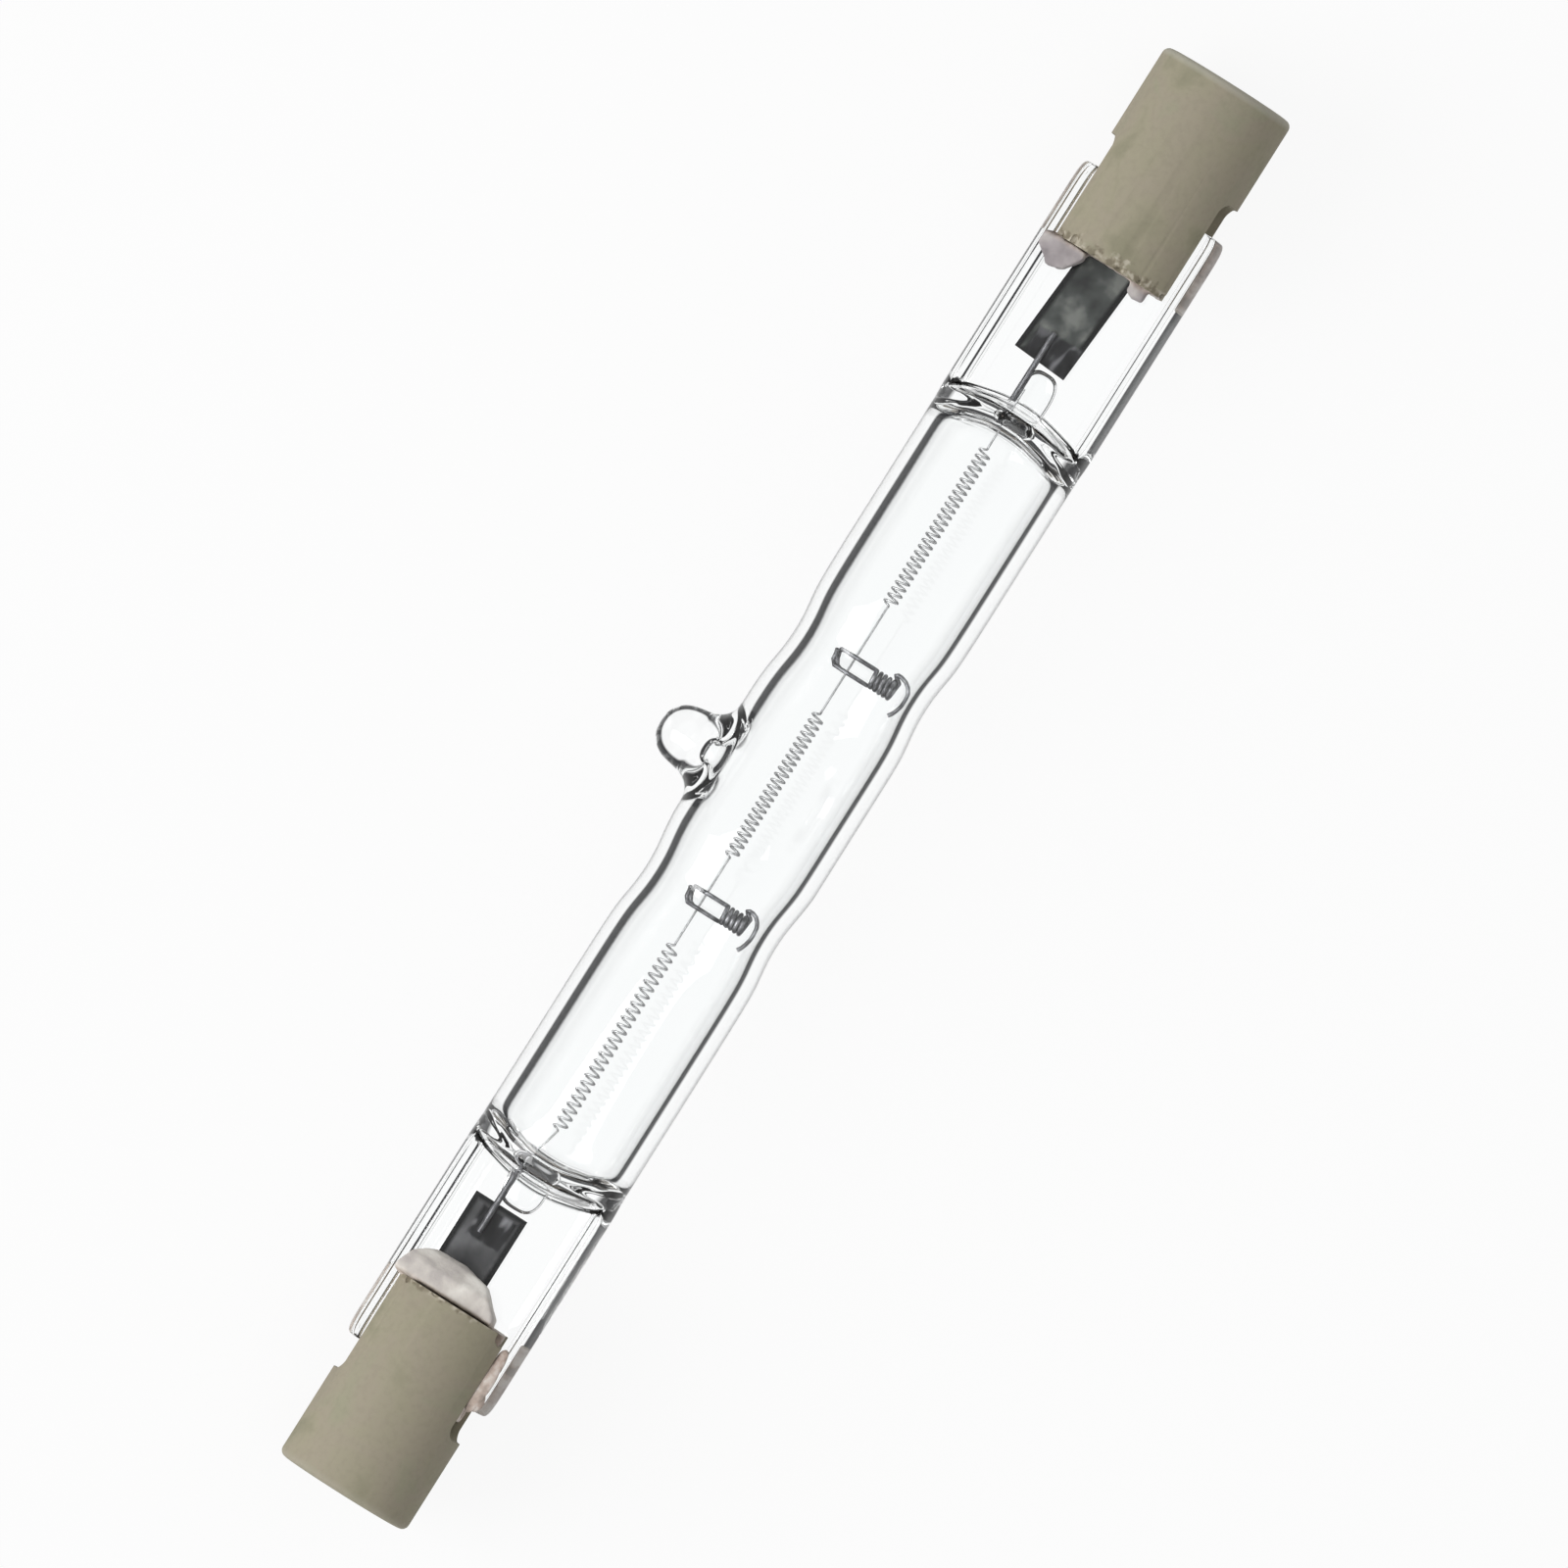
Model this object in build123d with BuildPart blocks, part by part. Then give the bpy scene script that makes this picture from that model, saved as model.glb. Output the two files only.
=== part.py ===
from math import asin, cos, degrees, pi, radians, sin
import os

from build123d import *

os.makedirs("parts", exist_ok=True)

# All sizes are in millimetres and degrees.
# The bulb is drawn with its axis on X, the exhaust nub along +Y and the
# flat faces of the pinch seals looking along Z. It is laid down at the end.

SIDES = {"left": -1, "right": 1}
SHOULDER_CURVE = [(0.55, 1, 0.7)]
NECK_CURVE = [(-1, 0), (0, 1), (1, 0)]

# Quartz tube
tube_diameter = 7.8
tube_wall = 0.85
neck_depth = 0.28
neck_share = 0.855
nub_position = -0.4
nub_diameter = 3.05
nub_height = 6.74
nub_flare = 0.9
exhaust_bore_diameter = 1.6
exhaust_bore_height = 4.35

# Pinch seals, the two ends of the tube pressed flat on the foils
pinch_to_contact = 4.85
pinch_length = {"left": 10.8, "right": 11.7}
shoulder_run = 1.7
shoulder_length = 2.3
shoulder_bulge = 0.2
pinch_width = 7.8
pinch_thickness = 3.0
pinch_edge_round = 1.2
web_width = 5.0
web_thickness = 1.8
web_wall_angle = 60
pinch_end_bevel = 0.45

# Inside of the tube
funnel_length = 1.1
funnel_mouth_diameter = 2.2
end_wall = 0.5
bore_bevel = 0.5
throat_width = 2.2
throat_height = 1.0
throat_offset = {"left": 0.46, "right": 0.05}
throat_to_foil = 0.25

# Molybdenum foils
foil_inset = {"left": 0.85, "right": 1.3}
foil_offset = {"left": 0.78, "right": 0.3}
foil_tilt = {"left": 0, "right": 4}
foil_length = 8.0
foil_width = 2.85
foil_thickness = 0.05
weld_length = 1.6
weld_flat = 0.04

# Lead wires
inner_lead_diameter = 0.3
inner_lead_offset = {"left": 1.05, "right": 0.7}
inner_lead_reach = 11.65
outer_lead_diameter = 0.6
outer_lead_bend_start = 0.4
outer_lead_bend_length = 1.2

# Filament, one wire in three coiled runs, placed by shares of the way to the leads
filament_wire = 0.18
filament_coil_diameter = 0.72
filament_pitch = 0.4
filament_offset = 0.5
filament_runs = [(-0.907, -0.43), (-0.181, 0.181), (0.482, 0.883)]
filament_taper = 0.35
filament_lap = 1.25
segments_per_turn = 5
wire_facets = 4

# Filament supports
support_share = 0.313
support_wire = 0.2
support_loop_diameter = 1.42
support_loop_length = 0.9
support_loop_turns = 2.5
support_post_diameter = 1.1
support_post_top = -0.35
support_post_turns = 4
support_post_pitch = 0.36
support_tail = -0.22
support_foot_length = 0.75
support_foot_rise = 0.2

# Ceramic caps
cap_diameter = 7.0
cap_length = 10.3
cap_edge_bevel = 0.3
cap_slot_width = 3.7
cap_slot_clearance = 1.7
cap_slot_round = 0.5
cap_chip_width = 0.9
cap_chip_depth = 0.55

# Contacts, set back in the end of each cap
contact_to_contact = 74.9
recess_depth = 1.7
recess_diameter = 3.6
contact_head_diameter = 3.0
contact_head_thickness = 0.7
contact_edge_bevel = 0.2
contact_stem_diameter = 1.5
contact_stem_length = 1.6
contact_clearance = 0.05

# Cement that holds the caps
cement_width = 5.6
cement_overrun = 0.9
cement_foot = 1.0
cement_edge = 0.1
cement_root = 0.6
cement_dome_height = 2.9
cement_lump_height = 2.4
cement_bit_height = 1.9
crown_steps = 3

tube_radius = tube_diameter / 2
bore_radius = tube_radius - tube_wall
neck_bore_radius = bore_radius - neck_depth
contact_face = contact_to_contact / 2
contact_seat = contact_face - contact_head_thickness
cap_end = contact_face + recess_depth
cap_mouth = cap_end - cap_length
pinch_end = contact_face - pinch_to_contact
shoulder = {side: pinch_end - pinch_length[side] for side in SIDES}
foil_start = {side: pinch_end - foil_inset[side] - foil_length for side in SIDES}
cap_slot_depth = pinch_end + cap_slot_clearance - cap_mouth
inner_lead_tip = pinch_end - inner_lead_reach
support_position = {side: sign * support_share * inner_lead_tip for side, sign in SIDES.items()}
neck_reach = neck_share * support_position["right"] / 2
coil_radius = (filament_coil_diameter - filament_wire) / 2
loop_radius = (support_loop_diameter - support_wire) / 2
post_radius = (support_post_diameter - support_wire) / 2
wire_flat = cos(pi / wire_facets)
inner_lead_height = (foil_thickness + inner_lead_diameter) / 2 - weld_flat
outer_lead_height = (foil_thickness + outer_lead_diameter) / 2 - weld_flat


def foil_centre(side, along):
    """Offset of the foil's middle line at a distance from its inner end."""
    return foil_offset[side] + (foil_length / 2 - along) * sin(radians(foil_tilt[side]))


def necks(radius):
    """Outline of the slight necks in the tube, one at each filament support."""
    return [
        (position + reach * neck_reach, radius - drop * neck_depth)
        for position in support_position.values()
        for reach, drop in NECK_CURVE
    ]


def on_side(part, side):
    """Parts are drawn for the right end; the left one is mirrored."""
    return part if side == "right" else mirror(part, about=Plane.YZ)


# Inner space of the tube, with the exhaust bore and the two throats
with BuildPart() as cavity:
    with BuildSketch(Plane.XY):
        with BuildLine():
            ends = {
                side: sign * (shoulder[side] - end_wall) for side, sign in SIDES.items()
            }
            corners = {
                side: sign * (abs(ends[side]) - funnel_length)
                for side, sign in SIDES.items()
            }
            Polyline(
                (ends["left"], 0),
                (ends["left"], funnel_mouth_diameter / 2),
                (corners["left"] - bore_bevel / 2, bore_radius - bore_bevel),
                (corners["left"] + bore_bevel, bore_radius),
                *necks(bore_radius),
                (corners["right"] - bore_bevel, bore_radius),
                (corners["right"] + bore_bevel / 2, bore_radius - bore_bevel),
                (ends["right"], funnel_mouth_diameter / 2),
                (ends["right"], 0),
                close=True,
            )
        make_face()
    revolve(axis=Axis.X)
    with BuildSketch(Plane.XZ.offset(-exhaust_bore_height)):
        with Locations((nub_position, 0)):
            Circle(exhaust_bore_diameter / 2)
    extrude(amount=exhaust_bore_height)
    chamfer(cavity.faces().sort_by(Axis.Y)[-1].edges(), exhaust_bore_diameter / 4)
    for side, sign in SIDES.items():
        inner = abs(corners[side])
        outer = foil_start[side] - throat_to_foil
        with BuildSketch(Plane.XY):
            with Locations((sign * (inner + outer) / 2, throat_offset[side])):
                RectangleRounded(outer - inner, throat_width, throat_width / 4)
        extrude(amount=throat_height / 2, both=True)

# Foils
foils = {}
foil_shapes = {}
for side in SIDES:
    with BuildPart() as foil:
        with BuildSketch(Plane.XY.offset(-foil_thickness / 2)):
            with Locations((foil_start[side] + foil_length / 2, foil_offset[side])):
                Rectangle(foil_length, foil_width, rotation=-foil_tilt[side])
        extrude(amount=foil_thickness)
    foil_shapes[side] = foil.part
    foils[side] = on_side(foil.part, side)

# Inner leads, welded on the foils
inner_leads = {}
for side in SIDES:
    with BuildPart() as inner_lead:
        with BuildSketch(Plane.YZ.offset(inner_lead_tip)):
            with Locations((inner_lead_offset[side], inner_lead_height)):
                Circle(inner_lead_diameter / 2)
        extrude(amount=foil_start[side] + weld_length - inner_lead_tip)
        add(foil_shapes[side], mode=Mode.SUBTRACT)
    inner_leads[side] = on_side(inner_lead.part, side)

# Outer leads, from the foils to the stems of the contacts
outer_leads = {}
for side in SIDES:
    foil_end = foil_start[side] + foil_length
    height = foil_centre(side, foil_length)
    with BuildPart() as outer_lead:
        with BuildLine():
            lead_start = (foil_end - weld_length, height, outer_lead_height)
            route = Polyline(
                lead_start,
                (pinch_end + outer_lead_bend_start, height, outer_lead_height),
                (pinch_end + outer_lead_bend_start + outer_lead_bend_length, 0, 0),
                (contact_seat - contact_stem_length, 0, 0),
            )
        with BuildSketch(Plane(origin=lead_start, z_dir=(1, 0, 0))):
            Circle(outer_lead_diameter / 2)
        sweep(path=route, transition=Transition.RIGHT)
        add(foil_shapes[side], mode=Mode.SUBTRACT)
    outer_leads[side] = on_side(outer_lead.part, side)

# All that the glass is closed around
with BuildPart() as hollow:
    add(cavity.part)
    for side in SIDES:
        add(foils[side])
        add(inner_leads[side])
        add(outer_leads[side])

# Glass: tube, exhaust nub and pinch seals
with BuildPart() as glass:
    starts = {
        side: sign * (shoulder[side] - shoulder_run) for side, sign in SIDES.items()
    }
    with BuildSketch(Plane.XY):
        with BuildLine():
            Polyline(
                (starts["left"], 0),
                (starts["left"], tube_radius),
                *necks(tube_radius),
                (starts["right"], tube_radius),
                (starts["right"], 0),
                close=True,
            )
        make_face()
    revolve(axis=Axis.X)
    nub_shank = nub_height - nub_diameter / 2
    with BuildSketch(Plane.XZ.offset(-nub_shank)):
        with Locations((nub_position, 0)):
            Circle(nub_diameter / 2)
    extrude(amount=nub_shank)
    with Locations((nub_position, nub_shank, 0)):
        Sphere(nub_diameter / 2)
    foot_ring = glass.edges().filter_by(GeomType.BSPLINE).filter_by_position(
        Axis.Y, tube_radius * 0.8, tube_radius * 1.01
    )
    chamfer(foot_ring, nub_flare)
    for side, sign in SIDES.items():
        flat = shoulder[side] - shoulder_run + shoulder_length
        with BuildSketch(Plane.YZ.offset(starts[side])):
            Circle(tube_radius)
        for run, width, thickness in SHOULDER_CURVE:
            with BuildSketch(Plane.YZ.offset(starts[side] + sign * run * shoulder_length)):
                Ellipse(
                    tube_radius + width * shoulder_bulge,
                    pinch_thickness / 2 + thickness * (tube_radius - pinch_thickness / 2),
                )
        with BuildSketch(Plane.YZ.offset(sign * flat)):
            RectangleRounded(pinch_width, pinch_thickness, pinch_edge_round)
        loft(ruled=True)
        with BuildSketch(Plane.YZ.offset(sign * flat)):
            RectangleRounded(pinch_width, pinch_thickness, pinch_edge_round)
        extrude(amount=sign * (pinch_end - flat))
        chamfer(
            glass.faces().sort_by(Axis.X)[-1 if sign > 0 else 0].edges(),
            pinch_end_bevel,
        )
        for face_sign in (-1, 1):
            with BuildSketch(Plane.YZ.offset(sign * shoulder[side])):
                with Locations((0, face_sign * (web_thickness / 2 + tube_radius / 2))):
                    Trapezoid(
                        web_width + tube_radius,
                        tube_radius,
                        web_wall_angle,
                        rotation=180 if face_sign > 0 else 0,
                    )
            extrude(amount=sign * pinch_end, mode=Mode.SUBTRACT)
    add(hollow.part, mode=Mode.SUBTRACT)


def coil(start, end, turns, centre, radius):
    """Points of one coiled run along X."""
    count = round(turns * segments_per_turn)
    return [
        (
            start + (end - start) * i / count,
            centre + radius * cos(2 * pi * i / segments_per_turn),
            radius * sin(2 * pi * i / segments_per_turn),
        )
        for i in range(count + 1)
    ]


# Filament
leg_height = {
    side: inner_lead_offset[side] - inner_lead_diameter / 2 - filament_wire / 2 * wire_flat
    for side in SIDES
}
filament_path = []
for side, sign in SIDES.items():
    leg = [
        (sign * (inner_lead_tip + filament_lap), leg_height[side], inner_lead_height),
        (sign * inner_lead_tip, leg_height[side], inner_lead_height),
    ]
    filament_path.append(leg)
wire_points = list(filament_path[0])
for run_shares in filament_runs:
    start, end = (share * inner_lead_tip for share in run_shares)
    turns = round((end - start) / filament_pitch)
    wire_points.append((start - filament_taper, filament_offset, 0))
    wire_points += coil(start, end, turns, filament_offset, coil_radius)
    wire_points.append((end + filament_taper, filament_offset, 0))
wire_points += reversed(filament_path[1])
with BuildPart() as filament:
    with BuildLine():
        wire = Polyline(*wire_points)
    with BuildSketch(Plane(origin=wire_points[0], x_dir=(0, 1, 0), z_dir=(1, 0, 0))):
        RegularPolygon(filament_wire / 2, wire_facets, rotation=180 / wire_facets)
    sweep(path=wire, transition=Transition.RIGHT, clean=False)

# Filament supports: a loop round the wire, a tight post and a foot on the glass
supports = {}
loop_centre = (
    filament_offset
    - filament_wire / 2 * wire_flat
    + loop_radius
    - support_wire / 2 * wire_flat
)
foot_height = -(neck_bore_radius - support_wire / 2 * wire_flat)
for side in SIDES:
    half = support_loop_length / 2
    loop_count = round(support_loop_turns * segments_per_turn)
    loop = [
        (
            -half + support_loop_length * i / loop_count,
            loop_centre + loop_radius * sin(2 * pi * i / segments_per_turn),
            loop_radius * cos(2 * pi * i / segments_per_turn),
        )
        for i in range(loop_count + 1)
    ]
    post_count = support_post_turns * segments_per_turn
    post_bottom = support_post_top - support_post_turns * support_post_pitch
    post = [
        (
            post_radius * cos(2 * pi * i / segments_per_turn),
            support_post_top + (post_bottom - support_post_top) * i / post_count,
            -post_radius * sin(2 * pi * i / segments_per_turn),
        )
        for i in range(post_count + 1)
    ]
    foot = [
        (post_radius * 1.3, (post_bottom * 2 + foot_height) / 3, 0),
        (post_radius * 0.9, (post_bottom + foot_height * 2) / 3, 0),
        (post_radius / 3, foot_height, 0),
        (-support_foot_length, foot_height, 0),
        (-support_foot_length - support_foot_rise * 2, foot_height + support_foot_rise, 0),
    ]
    tail = [(-half, support_tail, loop_radius)]
    position = support_position[side]
    support_points = [(x + position, y, z) for x, y, z in tail + loop + post + foot]
    with BuildPart() as support:
        with BuildLine():
            support_path = Polyline(*support_points)
        with BuildSketch(Plane(origin=support_points[0], z_dir=(0, 1, 0))):
            RegularPolygon(support_wire / 2, wire_facets)
        sweep(path=support_path, transition=Transition.RIGHT, clean=False)
    supports[side] = support.part

# Ceramic caps
caps = {}
cap_shapes = {}
for side in SIDES:
    with BuildPart() as cap:
        with BuildSketch(Plane.YZ.offset(cap_mouth)):
            Circle(cap_diameter / 2)
        extrude(amount=cap_length)
        chamfer(cap.faces().sort_by(Axis.X)[-1].edges(), cap_edge_bevel)
        with BuildSketch(Plane.XZ):
            with Locations((cap_mouth + cap_slot_depth / 2, 0)):
                Rectangle(cap_slot_depth, cap_slot_width)
        extrude(amount=cap_diameter, both=True, mode=Mode.SUBTRACT)
        fillet(
            cap.edges()
            .filter_by(Axis.Y)
            .filter_by_position(
                Axis.X, cap_mouth + cap_slot_depth - 0.1, cap_mouth + cap_slot_depth + 0.1
            ),
            cap_slot_round,
        )
        with Locations(Location((cap_end, 0, 0), (0, 90, 0))):
            Hole(recess_diameter / 2, depth=recess_depth)
            CounterBoreHole(
                contact_stem_diameter / 2 + contact_clearance,
                contact_head_diameter / 2 + contact_clearance,
                cap_end - contact_seat,
                depth=cap_length,
            )
        if side == "left":
            chip_reach = (cap_diameter**2 - cap_slot_width**2) ** 0.5 / 2
            with BuildSketch(Plane.XY):
                with BuildLine():
                    Polyline(
                        (cap_mouth, -chip_reach + cap_chip_width),
                        (cap_mouth, -cap_diameter),
                        (cap_mouth + cap_chip_depth, -cap_diameter),
                        (cap_mouth + cap_chip_depth, -chip_reach),
                        close=True,
                    )
                make_face()
            extrude(amount=cap_diameter / 2, mode=Mode.SUBTRACT)
    cap_shapes[side] = cap.part
    caps[side] = on_side(cap.part, side)

# Contacts
contacts = {}
for side in SIDES:
    with BuildPart() as contact:
        with BuildSketch(Plane.YZ.offset(contact_seat)):
            Circle(contact_head_diameter / 2)
        extrude(amount=contact_head_thickness)
        chamfer(contact.faces().sort_by(Axis.X)[-1].edges(), contact_edge_bevel)
        with BuildSketch(Plane.YZ.offset(contact_seat)):
            Circle(contact_stem_diameter / 2)
        extrude(amount=-contact_stem_length)
    contacts[side] = on_side(contact.part, side)

# Cement, between the pinch seals and the cheeks of the caps
cement_dome = [
    (cap_mouth - 0.3, 3.35),
    (cap_mouth - 1.2, 3.05),
    (cap_mouth - 1.8, 2.2),
    (cap_mouth - 1.85, 0.6),
    (cap_mouth - 1.5, -0.9),
    (cap_mouth - 0.4, -2.0),
]
cement_lump = [
    (cap_mouth - 0.7, 3.5),
    (cap_mouth - 1.5, 2.7),
    (cap_mouth - 1.2, 1.8),
    (cap_mouth - 0.4, 1.2),
]
cement_bit = [
    (cap_mouth - 0.5, -1.2),
    (cap_mouth - 0.75, -1.6),
    (cap_mouth - 0.6, -2.1),
]
mouth_shapes = {
    "left": [(cement_dome, cement_dome_height)],
    "right": [(cement_lump, cement_lump_height), (cement_bit, cement_bit_height)],
}


def mouth_lump(points, height):
    """A rounded lump of cement on the seal at the mouth of a cap."""
    reach = min(x for x, y in points)
    with BuildPart() as lump:
        with BuildSketch(Plane.XY):
            with BuildLine():
                Polyline(
                    (cap_mouth + cement_root, points[0][1]),
                    *points,
                    (cap_mouth + cement_root, points[-1][1]),
                    close=True,
                )
            make_face()
        extrude(amount=height)
        with BuildSketch(Plane.XZ):
            with BuildLine():
                crown = [
                    (
                        cap_mouth - (cap_mouth - reach + cement_edge) * sin(angle),
                        cement_foot + (height - cement_foot) * cos(angle),
                    )
                    for angle in (pi / 2 * i / crown_steps for i in range(crown_steps + 1))
                ]
                Polyline(
                    *crown,
                    (crown[-1][0], 0),
                    (cap_mouth + cement_root, 0),
                    (cap_mouth + cement_root, height),
                    close=True,
                )
            make_face()
        extrude(amount=cap_diameter, both=True, mode=Mode.INTERSECT)
    return lump.part


cements = {}
for side in SIDES:
    with BuildPart() as cement:
        slot_run = pinch_end + cement_overrun - cap_mouth
        with BuildSketch(Plane.XY):
            with Locations((cap_mouth + slot_run / 2, 0)):
                Rectangle(slot_run, cement_width)
        extrude(amount=cap_slot_width / 2, both=True)
        for points, height in mouth_shapes[side]:
            add(mouth_lump(points, height))
        add(cap_shapes[side], mode=Mode.SUBTRACT)
    placed = on_side(cement.part, side)
    cements[side] = placed - glass.part - foils[side] - outer_leads[side] - inner_leads[side]

# The bulb lies on the tube and the tip of the nub
nub_radius = nub_diameter / 2
lean = degrees(asin((tube_radius - nub_radius) / (nub_height - nub_radius)))
lay_down = Location((0, 0, 0), (-lean, 0, 0))

nodes = {"glass_envelope": glass.part, "filament": filament.part}
for side in SIDES:
    nodes["ceramic_cap_" + side] = caps[side]
    nodes["contact_" + side] = contacts[side]
    nodes["cement_" + side] = cements[side]
    nodes["foil_" + side] = foils[side]
    nodes["outer_lead_" + side] = outer_leads[side]
    nodes["inner_lead_" + side] = inner_leads[side]
    nodes["filament_support_" + side] = supports[side]

for name, node in nodes.items():
    placed = lay_down * node
    placed.label = name
    export_step(placed, "parts/" + name + ".step")
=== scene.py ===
from math import cos, pi, radians, sin

import bmesh
import bpy
from mathutils import Matrix, Vector


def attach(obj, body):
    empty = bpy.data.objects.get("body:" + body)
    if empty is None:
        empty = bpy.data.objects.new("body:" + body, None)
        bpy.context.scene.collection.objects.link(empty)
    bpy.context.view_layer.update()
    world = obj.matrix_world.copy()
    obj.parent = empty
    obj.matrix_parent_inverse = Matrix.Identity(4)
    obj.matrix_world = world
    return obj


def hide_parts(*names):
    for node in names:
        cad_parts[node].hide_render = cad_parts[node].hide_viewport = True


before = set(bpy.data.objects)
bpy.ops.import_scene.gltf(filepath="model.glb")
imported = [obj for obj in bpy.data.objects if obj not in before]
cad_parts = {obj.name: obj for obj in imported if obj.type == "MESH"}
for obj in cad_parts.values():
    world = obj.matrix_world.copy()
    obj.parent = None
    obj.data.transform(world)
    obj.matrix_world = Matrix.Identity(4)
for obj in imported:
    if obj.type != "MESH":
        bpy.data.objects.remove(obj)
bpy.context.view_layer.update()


# Studio. The bulb lies on a white table and is seen from above, with the nub
# to one side. Soft light comes from the nub's side. The table and the room
# show white, and the glass sees a darker ring of room beyond the lit table.
mm = 0.001
view_tilt = radians(21)
photo_turn = radians(57.76)
photo_width = 73.8 * mm
photo_centre = (0.14 * mm, 0.18 * mm)
camera_distance = 1.2
film_width = 36
table_height = -3.9 * mm
table_size = 1.6
lamp_place = (-0.2, 0.5, 0.28)
lamp_size = 0.35
lamp_power = 2.5


def linear(hex_colour):
    """An sRGB hex colour as linear RGBA."""
    levels = [int(hex_colour[i:i + 2], 16) / 255 for i in (0, 2, 4)]
    return tuple(v / 12.92 if v <= 0.04045 else ((v + 0.055) / 1.055) ** 2.4 for v in levels) + (1,)


def add_node(tree, kind, settings=(), sockets=(), stops=()):
    """Adds one node with its properties, its input sockets set or linked, and a ramp's colours."""
    node = tree.nodes.new(kind)
    for name, value in dict(settings).items():
        setattr(node, name, value)
    for name, value in dict(sockets).items():
        if isinstance(value, bpy.types.NodeSocket):
            tree.links.new(value, node.inputs[name])
        else:
            node.inputs[name].default_value = value
    for index, (spot, shade) in enumerate(stops):
        colours = node.color_ramp.elements
        if index == 0:
            stop = colours[0]
        elif index < len(stops) - 1:
            stop = colours.new(spot)
        else:
            stop = colours[-1]
        stop.position = spot
        stop.color = linear(shade)
    return node


toward_camera = Vector((0, sin(view_tilt), cos(view_tilt)))
across = Vector((0, cos(view_tilt), -sin(view_tilt)))
along = Vector((1, 0, 0))
photo_right = cos(photo_turn) * along - sin(photo_turn) * across
photo_up = sin(photo_turn) * along + cos(photo_turn) * across
aim = photo_centre[0] * along + photo_centre[1] * across

bpy.ops.object.select_all(action="DESELECT")
bpy.ops.object.camera_add(location=aim + camera_distance * toward_camera)
camera = bpy.context.object
camera.name = "photo_camera"
turned = Matrix((photo_right, photo_up, toward_camera)).transposed()
camera.rotation_euler = turned.to_euler()
camera.data.sensor_width = film_width
camera.data.lens = film_width * camera_distance / photo_width
camera.data.clip_start = 0.05
camera.data.clip_end = 10
bpy.context.scene.camera = camera

bpy.ops.object.light_add(type="AREA", location=lamp_place)
lamp = bpy.context.object
lamp.name = "soft_lamp"
lamp.rotation_euler = (-Vector(lamp.location)).to_track_quat("-Z", "Y").to_euler()
lamp.data.shape = "SQUARE"
lamp.data.size = lamp_size
lamp.data.energy = lamp_power

world = bpy.data.worlds.new("studio_room")
bpy.context.scene.world = world
world.use_nodes = True
tree = world.node_tree
tree.nodes.clear()
path = add_node(tree, "ShaderNodeLightPath")
direction = add_node(tree, "ShaderNodeTexCoord")
# Through the glass the lit table is centred a little off the line of view.
lit_tilt = view_tilt + radians(4)
lit_swing = radians(5)
lit_axis = Vector((-sin(lit_swing), -sin(lit_tilt), -cos(lit_tilt))).normalized()
below = add_node(tree, "ShaderNodeVectorMath", {"operation": "DOT_PRODUCT"},
    {0: direction.outputs["Generated"], 1: lit_axis})
spread = add_node(tree, "ShaderNodeMapRange", {},
    {"Value": below.outputs["Value"], "From Min": -1, "From Max": 1})
ring = add_node(tree, "ShaderNodeValToRGB", {}, {"Fac": spread.outputs["Result"]}, (
    (0, "ffffff"), (0.56, "ffffff"), (0.65, "1c1d20"), (0.868, "1c1d20"), (0.90, "ffffff"),
    (1, "ffffff")))
ceiling = add_node(tree, "ShaderNodeValToRGB", {}, {"Fac": spread.outputs["Result"]}, (
    (0.25, "cccccc"), (0.5, "ffffff")))
gloss_or_white = add_node(tree, "ShaderNodeMix", {"data_type": "RGBA"},
    {0: path.outputs["Is Glossy Ray"], 6: linear("ffffff"), 7: ceiling.outputs["Color"]})
seen = add_node(tree, "ShaderNodeMix", {"data_type": "RGBA"},
    {0: path.outputs["Is Transmission Ray"], 6: gloss_or_white.outputs[2], 7: ring.outputs["Color"]})
shown = add_node(tree, "ShaderNodeBackground", {}, {"Color": seen.outputs[2], "Strength": 1.0})
light = add_node(tree, "ShaderNodeBackground", {}, {"Color": linear("ffffff"), "Strength": 0.5})
camera_or_glossy = add_node(tree, "ShaderNodeMath", {"operation": "MAXIMUM"},
    {0: path.outputs["Is Camera Ray"], 1: path.outputs["Is Glossy Ray"]})
any_seen = add_node(tree, "ShaderNodeMath", {"operation": "MAXIMUM"},
    {0: camera_or_glossy.outputs[0], 1: path.outputs["Is Transmission Ray"]})
both = add_node(tree, "ShaderNodeMixShader", {},
    {0: any_seen.outputs[0], 1: light.outputs[0], 2: shown.outputs[0]})
add_node(tree, "ShaderNodeOutputWorld", {}, {"Surface": both.outputs[0]})

bpy.ops.mesh.primitive_plane_add(size=table_size, location=(0, 0, table_height))
table = bpy.context.object
table.name = "white_table"
card = bpy.data.materials.new("white_card")
card.use_nodes = True
tree = card.node_tree
tree.nodes.clear()
path = add_node(tree, "ShaderNodeLightPath")
matt = add_node(tree, "ShaderNodeBsdfDiffuse", {}, {"Color": linear("f8f8f8")})
white = add_node(tree, "ShaderNodeEmission", {}, {"Color": linear("ffffff"), "Strength": 1.0})
share = add_node(tree, "ShaderNodeMath", {"operation": "MULTIPLY"},
    {0: path.outputs["Is Camera Ray"], 1: 0.9})
lit = add_node(tree, "ShaderNodeMixShader", {},
    {0: share.outputs[0], 1: matt.outputs[0], 2: white.outputs[0]})
clear = add_node(tree, "ShaderNodeBsdfTransparent")
table_mix = add_node(tree, "ShaderNodeMixShader", {},
    {0: path.outputs["Is Transmission Ray"], 1: lit.outputs[0], 2: clear.outputs[0]})
add_node(tree, "ShaderNodeOutputMaterial", {}, {"Surface": table_mix.outputs[0]})
table.data.materials.append(card)


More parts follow.
